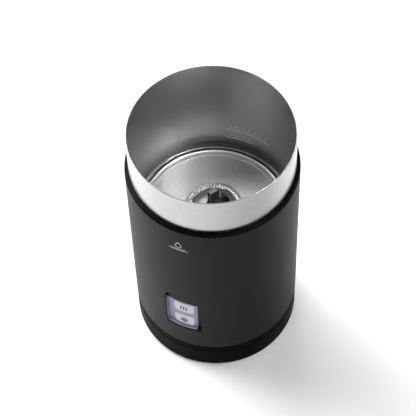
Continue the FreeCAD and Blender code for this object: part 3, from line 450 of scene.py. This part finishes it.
# %% [markdown]
# ## The cup
# The cup is one pressed sheet: a straight wall, a narrow valley at its foot, a raised bead and
# a flat floor. The designed node has this shape; turning it again as a fine surface gives the
# rolled lip and the bead clean highlights, and lets each zone have its own finish: brushed
# walls, a finely blasted bead and a coarser blasted floor.

# %% Turn the cup
BEAD_RING = 47.2
BEAD_RADIUS = 2.2
BEAD_HEIGHT = 4.2
PIN_HOLE = 1.55


def cup_section():
    """Corners of the cup's sheet: down the inside, across the floor and back up outside."""
    wall, floor, inner = CUP_WALL, CUP_FLOOR, CUP_INNER
    crest = floor + BEAD_HEIGHT
    out, back = BEAD_RING + BEAD_RADIUS, BEAD_RING - BEAD_RADIUS
    return [
        (inner, CUP_RIM, wall * 0.45),
        (inner, floor, 1.25),
        (out, floor, 1.25),
        (out, crest, 2.15),
        (back, crest, 2.15),
        (back, floor, 0.8),
        (PIN_HOLE, floor, 0.05),
        (PIN_HOLE, floor - wall, 0.05),
        (back + wall, floor - wall, 1.5),
        (back + wall, crest - wall, 1.45),
        (out - wall, crest - wall, 1.45),
        (out - wall, floor - wall, 1.9),
        (CUP_RADIUS, floor - wall, 1.9),
        (CUP_RADIUS, CUP_RIM, wall * 0.45),
    ]


cup = turned("frothing_cup", cup_section(), around=360, steps=8)
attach(cup, "jug")
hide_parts("steel_cup")

# %% [markdown]
# One mesh can hold several materials: each face stores the number of its own. The zone of a
# face follows from where its middle lies, so whole arrays decide it.


# %% Give each zone of the cup its steel
def zone_cup(piece):
    """Outside wall 0, inside wall 1, bead 2 and floor 3, by radius and height of the face."""
    count = len(piece.data.polygons)
    middle = np.empty(count * 3)
    piece.data.polygons.foreach_get("center", middle)
    normal = np.empty(count * 3)
    piece.data.polygons.foreach_get("normal", normal)
    middle = middle.reshape(-1, 3) / MM
    normal = normal.reshape(-1, 3)
    radius = np.hypot(middle[:, 0], middle[:, 1])
    outward = (normal[:, :2] * middle[:, :2]).sum(1) > 0
    above = middle[:, 2] > CUP_FLOOR - CUP_WALL * 0.5
    zone = np.zeros(count, np.int32)
    zone[above & ~outward & (radius > CUP_INNER - 1.4)] = 1
    bead = above & (np.abs(radius - BEAD_RING) < BEAD_RADIUS + 0.1) & (normal[:, 2] > -0.1)
    zone[bead] = 2
    zone[above & (radius < BEAD_RING - BEAD_RADIUS + 0.05) & (normal[:, 2] > 0)] = 3
    piece.data.polygons.foreach_set("material_index", zone)
    print("faces in each zone", np.bincount(zone))


for steel in (band_steel, wall_steel, bead_steel, floor_steel):
    cup.data.materials.append(steel)
zone_cup(cup)

# %% [markdown]
# ## The whisk's coil
# The whisk is a spring bent into a ring. Its wire runs round a thin tube while the tube runs
# round the axis, so the centre line is a small circle carried along a large one. A modifier
# could bend a straight spring, but the formula is shorter and joins its ends exactly.

# %% Carry a circle along a path
COIL_TURNS = 56
WIRE_RADIUS = 0.62
STEPS_PER_TURN = 16


def wire_along(name, path, outward, radius, sides=8, closed=False):
    """A round wire: at each path point a small circle is drawn from two directions that are
    square to the path. The first is the outward vector less its part along the path."""
    tangent = np.roll(path, -1, axis=0) - np.roll(path, 1, axis=0)
    if not closed:
        tangent[0], tangent[-1] = path[1] - path[0], path[-1] - path[-2]
    tangent /= np.linalg.norm(tangent, axis=1, keepdims=True)
    first = outward - (outward * tangent).sum(1, keepdims=True) * tangent
    first /= np.linalg.norm(first, axis=1, keepdims=True)
    second = np.cross(tangent, first)
    a = np.linspace(0, 2 * np.pi, sides, endpoint=False)
    circle = first[:, None] * np.cos(a)[:, None] + second[:, None] * np.sin(a)[:, None]
    grid = path[:, None] + radius * circle
    if not closed:
        grid = np.concatenate([np.repeat(path[:1, None], sides, 1), grid,
                               np.repeat(path[-1:, None], sides, 1)])
    return surface(name, grid, close_rows=closed, close_columns=True)


# %% Wind the coil
def wind_coil():
    """Centre line: radius COIL_RING + t cos(n a) and height t sin(n a) at the angle a, where t
    is the tube's radius less the wire's and n the number of turns."""
    a = np.linspace(0, 2 * np.pi, COIL_TURNS * STEPS_PER_TURN, endpoint=False)
    tube = COIL_TUBE - WIRE_RADIUS
    spoke = np.stack([np.cos(a), np.sin(a), np.zeros_like(a)], axis=1)
    up = np.array([0, 0, 1.0])
    outward = np.cos(COIL_TURNS * a)[:, None] * spoke + np.sin(COIL_TURNS * a)[:, None] * up
    path = COIL_RING * spoke + COIL_LEVEL * up + tube * outward
    return wire_along("whisk_spring", path, outward, WIRE_RADIUS, sides=8, closed=True)


coil = wind_coil()
coil.data.materials.append(wire_steel)
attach(coil, "whisk")
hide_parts("whisk_coil")

# %% [markdown]
# ## Printed marks and icons
# The buttons carry small dark icons, the sleeve a pale badge, and the cup two level lines. A
# picture could be printed on with a texture, but a real inlay has an edge. So each line is a
# ribbon with a thickness, laid on a curved surface: its path is drawn flat, in millimetres
# along and up the surface, and then wrapped.

# %% Lay ribbons on a cylinder
def ribbon(name, path, width, wrap, low, high):
    """A flat strip of a width along a path (n, 2), with its lower face at one lift and its
    upper face at another. wrap(u, v, lift) takes a flat point to space."""
    step = np.gradient(path, axis=0)
    step /= np.linalg.norm(step, axis=1, keepdims=True)
    side = np.stack([-step[:, 1], step[:, 0]], axis=1) * width / 2
    left, right = path + side, path - side
    rails = [wrap(*left.T, high), wrap(*right.T, high), wrap(*right.T, low),
             wrap(*left.T, low)]
    grid = np.stack(rails, axis=1)
    ends = [np.repeat(grid[k:k + 1].mean(1, keepdims=True), 4, 1) for k in (0, -1)]
    grid = np.concatenate([ends[0], grid, ends[1]])
    piece = surface(name, grid, close_columns=True)
    piece.data.polygons.foreach_set("use_smooth", np.zeros(len(piece.data.polygons), bool))
    return piece


def on_cylinder(radius, bearing, level):
    """Wrap for a cylinder: u runs round it from a bearing (0 at the front, growing to the
    right), v runs up from a level and lift runs outwards."""
    def wrap(u, v, lift):
        a = math.radians(bearing) + u / radius
        reach = radius + lift
        return np.stack([reach * np.sin(a), -reach * np.cos(a), level + v], axis=-1)
    return wrap


def join(name, pieces):
    """One object from several, in one mesh."""
    meshes = [piece.data for piece in pieces]
    work = bmesh.new()
    for mesh in meshes:
        work.from_mesh(mesh)
    whole = bpy.data.meshes.new(name)
    work.to_mesh(whole)
    work.free()
    for piece in pieces:
        bpy.data.objects.remove(piece)
    joined = bpy.data.objects.new(name, whole)
    bpy.context.scene.collection.objects.link(joined)
    return joined


# %% [markdown]
# Each button is moulded with a gently domed face and soft edges. A loop shaped like a rounded
# rectangle is shrunk step by step towards its middle while it climbs the edge's arc, which is
# how such a cap looks in a mould drawing.

# %% Loft a button cap
BUTTON_WIDTH = 14.6
BUTTON_HEIGHT = 11.0
BUTTON_CORNER = 2.2
BUTTON_EDGE = 0.7
BUTTON_CROWN = 0.25


def loop(width, height, corner, steps=10, sides=12):
    """Points round a rectangle with round corners, with the sides divided evenly."""
    half_w, half_h = width / 2, height / 2
    corners = [(-half_w, -half_h, corner), (half_w, -half_h, corner), (half_w, half_h, corner),
               (-half_w, half_h, corner)]
    arcs = rounded(corners, steps, guard=0.0).reshape(4, -1, 2)
    t = np.linspace(0, 1, sides, endpoint=False)[None, 1:, None]
    flats = arcs[:, -1:] * (1 - t) + np.roll(arcs[:, :1], -1, axis=0) * t
    return np.concatenate([arcs, flats], axis=1).reshape(-1, 2)


def button_cap(name, node, body):
    """A cap in front of a node's own flange: skirt, quarter-round edge and crowned face."""
    low, high = node_box(node)
    level = (low[2] + high[2]) / 2
    face = -low[1]
    rim = loop(BUTTON_WIDTH, BUTTON_HEIGHT, BUTTON_CORNER)
    bend = np.linspace(0, np.pi / 2, 7)
    shrink = np.linspace(1, 0, 9)[1:]
    inset = np.concatenate([[0, 0], BUTTON_EDGE * (1 - np.cos(bend)), np.full(8, BUTTON_EDGE)])
    lift = np.concatenate([[-3.3, -1.2], BUTTON_EDGE * (np.sin(bend) - 1), np.zeros(8)])
    scale = np.concatenate([np.ones(9), shrink])
    half = np.array([BUTTON_WIDTH, BUTTON_HEIGHT]) / 2
    flat = rim[None] * (1 - inset[:, None, None] / half) * scale[:, None, None]
    x, z = flat[..., 0], flat[..., 1]
    dome = BUTTON_CROWN * ((x / half[0]) ** 2 + (z / half[1]) ** 2)
    radius = face + lift[:, None] - dome * (lift[:, None] > -1)
    y = -np.sqrt(radius ** 2 - x ** 2)
    grid = np.stack([x, y, z + level], axis=-1)
    back = grid[:1].mean(1, keepdims=True).repeat(grid.shape[1], 1)
    cap = surface(name, np.concatenate([back, grid]), close_columns=True)
    cap.data.materials.append(button_abs)
    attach(cap, body)
    return cap, face, level


hot_cap, face_radius, hot_level = button_cap("hot_button_face", "hot_button_cap", "hot_button")
cold_cap, face_radius, cold_level = button_cap("cold_button_face", "cold_button_cap",
                                               "cold_button")
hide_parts("hot_button_cap")
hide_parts("cold_button_cap")

# %% Ink the icons
ink = moulded("dark_icon_ink", "#08080c", "#0e0d14", 0.45, 0.4, 0.002)
INK_WIDTH = 0.9
INK_FOOT = -0.1
INK_RISE = 0.13
INK_SINK = 0.08
WAVE_SWING = 0.3
WAVE_LEAN = 0.8
WAVE_HEIGHT = 4.4
WAVE_PITCH = 1.9
ARM_LENGTH = 2.9
TWIG_START = 1.6
TWIG_LENGTH = 1.1


def steam_icon():
    """Three leaning waves side by side: u = centre + swing sin(2 pi t) + lean (t - 1/2)."""
    t = np.linspace(0, 1, 25)
    wrap = on_cylinder(face_radius - INK_SINK, 0, hot_level)
    lines = []
    for centre in (-WAVE_PITCH, 0.0, WAVE_PITCH):
        path = np.stack([centre + WAVE_SWING * np.sin(2 * np.pi * t) + WAVE_LEAN * (t - 0.5),
                         WAVE_HEIGHT * (t - 0.5)], axis=1)
        lines.append(ribbon("steam", path, INK_WIDTH, wrap, INK_FOOT, INK_RISE))
    return join("hot_icon", lines)


def snow_icon():
    """Six arms from a middle, each with a pair of short twigs."""
    wrap = on_cylinder(face_radius - INK_SINK, 0, cold_level)
    lines = []
    for arm in np.radians(np.arange(0, 360, 60) + 30):
        out = np.array([np.cos(arm), np.sin(arm)])
        spoke = np.linspace(0.2, ARM_LENGTH, 6)[:, None] * out
        lines.append(ribbon("arm", spoke, INK_WIDTH * 0.8, wrap, INK_FOOT, INK_RISE))
        for lean in (-1, 1):
            twig = np.array([np.cos(arm + lean * 1.0), np.sin(arm + lean * 1.0)])
            path = TWIG_START * out + np.linspace(0.1, TWIG_LENGTH, 4)[:, None] * twig
            lines.append(ribbon("twig", path, INK_WIDTH * 0.6, wrap, INK_FOOT,
                                INK_RISE - 0.01))
    return join("cold_icon", lines)


for icon, body in ((steam_icon(), "hot_button"), (snow_icon(), "cold_button")):
    icon.data.materials.append(ink)
    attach(icon, body)

# %% [markdown]
# The sleeve's badge is a plain milk drop over two ripples, printed in pale grey. The level
# lines are etched in the cup's wall; an etched line in steel is rougher than the brushed
# surface round it, so it catches the light.

# %% Print the badge and etch the level lines
badge_ink = moulded("pale_badge_ink", "#8c8c8c", "#989898", 0.5, 0.4, 0.002)
etched = moulded("etched_steel", "#e2e2e2", "#f0f0f0", 0.6, 0.4, 0.01)
BADGE_LEVEL = 147.0
LINE_WIDTH = 0.7
BADGE_LINE = 0.7
BADGE_LIFTS = (-0.05, 0.01)
LINE_LIFTS = (-0.06, 0.02)
TICK_START = 2.6


def badge():
    """A drop outline: a circle whose upper half is pulled up to a point, and two arcs."""
    a = np.linspace(-np.pi / 2, 1.5 * np.pi, 49)
    pull = 1 + 0.55 * np.clip(np.sin(a), 0, 1) ** 6
    drop = np.stack([1.9 * np.cos(a) * (1 - 0.25 * np.clip(np.sin(a), 0, 1)),
                     2.2 * np.sin(a) * pull + 1.2], axis=1)
    wrap = on_cylinder(SLEEVE_RADIUS, 0, BADGE_LEVEL)
    lines = [ribbon("drop", drop, BADGE_LINE, wrap, *BADGE_LIFTS)]
    for width, level in ((4.6, -1.6), (6.6, -2.9)):
        u = np.linspace(-width, width, 25)
        arc = np.stack([u, level - 0.8 * np.sqrt(1 - (u / (width + 0.4)) ** 2)], axis=1)
        lines.append(ribbon("ripple", arc, BADGE_LINE, wrap, *BADGE_LIFTS))
    return join("sleeve_badge", lines)


def level_line(name, level, start, end, ticks, tick_height):
    """An etched line on the inner wall between two bearings, with a row of ticks above it."""
    wrap = on_cylinder(CUP_INNER, 0, level)
    u = np.linspace(math.radians(start), math.radians(end), 60) * CUP_INNER
    lines = [ribbon("line", np.stack([u, 0 * u], axis=1), LINE_WIDTH, wrap, *LINE_LIFTS)]
    for bearing in np.linspace(start + 4, end - 4, ticks):
        u = math.radians(bearing) * CUP_INNER
        path = np.array([[u, TICK_START], [u, TICK_START + tick_height]])
        lines.append(ribbon("tick", path, LINE_WIDTH, wrap, *LINE_LIFTS))
    return join(name, lines)


mark = badge()
mark.data.materials.append(badge_ink)
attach(mark, "jug")
for line in (level_line("upper_level_line", 131.0, 158, 194, 7, 1.6),
             level_line("lower_level_line", 122.0, 171.7, 193.3, 4, 1.2)):
    line.data.materials.append(etched)
    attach(line, "jug")

# %% [markdown]
# ## Floor, light and camera
# A pale seamless sheet with large soft lamps is how small appliances are shot: the dark sleeve
# is drawn by broad reflections at its edges, and the steel by what it mirrors. The camera
# stands about a metre away and looks down into the cup.

# %% Lay the floor
FLOOR_HALF_SIDE = 3000.0


def pale_floor():
    """A large flat square under the feet."""
    side = np.linspace(-FLOOR_HALF_SIDE, FLOOR_HALF_SIDE, 3)
    x, y = np.meshgrid(side, side)
    sheet = surface("studio_floor", np.stack([x, y, 0 * x], axis=-1))
    material, tree, shader, place = new_finish("studio_paper", "#f2f2f2", 0.7)
    fibre = add_node(tree, "ShaderNodeTexNoise", {"Scale": per_metre(3.0)}, {"Vector": place})
    bump = add_node(tree, "ShaderNodeBump", {"Strength": 0.05, "Distance": 0.1 * MM},
                    {"Height": fibre.outputs["Fac"]})
    tree.links.new(bump.outputs["Normal"], shader.inputs["Normal"])
    sheet.data.materials.append(material)


pale_floor()


# %% Hang the lamps
def lamp(name, watts, size, position, target=(0, 0, 0.1), spread=180):
    """A rectangular soft lamp at a position, turned to a target. A spread under 180 degrees
    works like a grid in front of the lamp and narrows its beam."""
    data = bpy.data.lights.new(name, "AREA")
    data.shape = "RECTANGLE"
    data.size, data.size_y = size
    data.energy = watts
    data.spread = math.radians(spread)
    lamp_object = bpy.data.objects.new(name, data)
    bpy.context.scene.collection.objects.link(lamp_object)
    aim(lamp_object, position, target)
    print(f"{name}: {watts} W")


def aim(thing, position, target):
    """Place a lamp or camera and turn its -Z axis to a target with its top upwards."""
    thing.location = position
    along = Vector(target) - Vector(position)
    thing.rotation_euler = along.to_track_quat("-Z", "Y").to_euler()


def around(bearing, elevation, distance):
    """A place by bearing (0 at the front, growing to the right), elevation and distance."""
    a, e = math.radians(bearing), math.radians(elevation)
    return (distance * math.sin(a) * math.cos(e), -distance * math.cos(a) * math.cos(e),
            distance * math.sin(e))


CAMERA_BEARING = 24.3
lamp("key_behind_left", 22, (0.9, 0.9), around(CAMERA_BEARING + 230, 48, 1.6))
lamp("top_softbox", 15, (0.7, 0.7), around(CAMERA_BEARING + 197, 62, 1.6))
lamp("side_left", 4.5, (0.4, 0.4), around(CAMERA_BEARING - 110, 35, 0.9), (-0.2, 0.0, 0.0))
lamp("cup_snoot", 0.22, (0.3, 0.3), around(CAMERA_BEARING + 58, 53, 1.6),
     (-0.03, 0, 0.15), 14)
lamp("side_right", 1.5, (0.4, 0.4), around(CAMERA_BEARING + 105, 35, 0.9), (0.2, 0.0, 0.0))
lamp("front_fill", 3.6, (0.8, 0.8), around(CAMERA_BEARING + 10, 50, 1.6))
world = bpy.data.worlds.new("studio_air")
world.use_nodes = True
air = world.node_tree.nodes["Background"]
air.inputs["Color"].default_value = (1, 1, 1, 1)
air.inputs["Strength"].default_value = 0.25
bpy.context.scene.world = world
bpy.context.scene.view_settings.view_transform = "Standard"

# %% Set the camera
LENS = 134.4
SENSOR = 36.0
camera_data = bpy.data.cameras.new("catalogue_camera")
camera_data.lens = LENS
camera_data.sensor_width = SENSOR
camera = bpy.data.objects.new("catalogue_camera", camera_data)
bpy.context.scene.collection.objects.link(camera)
bpy.context.scene.camera = camera


def set_camera(axis_height, elevation, distance, yaw, pitch, roll):
    """Look at a point on the axis, then turn by a small yaw, pitch and roll in degrees."""
    a = math.radians(CAMERA_BEARING)
    e = math.radians(elevation)
    back = Vector((math.sin(a) * math.cos(e), -math.cos(a) * math.cos(e), math.sin(e)))
    right = Vector((math.cos(a), math.sin(a), 0))
    up = back.cross(right)
    turn = Matrix((right, up, back)).transposed().to_4x4()
    nudge = (Matrix.Rotation(math.radians(roll), 4, "Z")
             @ Matrix.Rotation(math.radians(pitch), 4, "X")
             @ Matrix.Rotation(math.radians(yaw), 4, "Y"))
    spot = Vector((0, 0, axis_height)) + back * distance
    camera.matrix_world = Matrix.Translation(spot) @ turn @ nudge


set_camera(0.1008, 56.5, 1.0252, 0.227, 0.392, -1.88)
print("camera at", [round(v, 4) for v in camera.matrix_world.translation])
